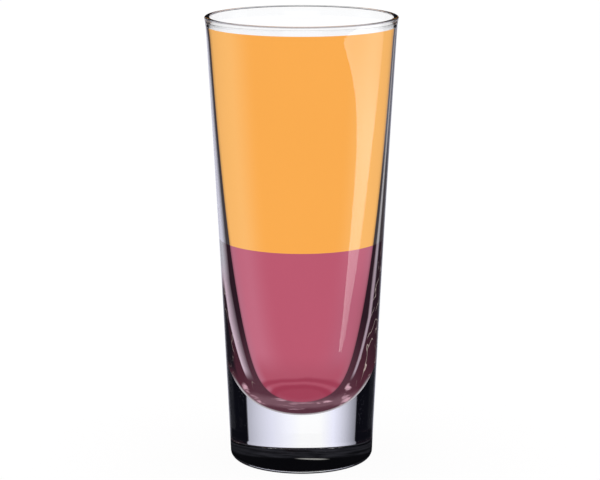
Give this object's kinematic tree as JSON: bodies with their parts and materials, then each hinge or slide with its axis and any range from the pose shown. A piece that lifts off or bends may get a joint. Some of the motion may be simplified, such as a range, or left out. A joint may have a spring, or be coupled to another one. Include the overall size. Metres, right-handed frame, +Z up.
{
  "type": "prune shake",
  "caption": "Tall tapered tumbler with a thick solid base, filled almost to its rim with a smooth fruit shake, orange above dusky rose.",
  "frame": {"origin": "centre of the tumbler's underside, on the surface that it stands on", "axes": "+Z up along the tumbler's axis; it is round, so X and Y are any two level directions"},
  "size_m": [0.064, 0.064, 0.152],
  "materials": {
    "clear_glass": "clear and polished",
    "rose_drink": "smooth opaque dusky rose drink",
    "orange_drink": "smooth opaque pale orange drink"
  },
  "bodies": {
    "root": {"tumbler": "clear_glass", "rose_layer": "rose_drink", "orange_layer": "orange_drink"}
  },
  "joints": []
}
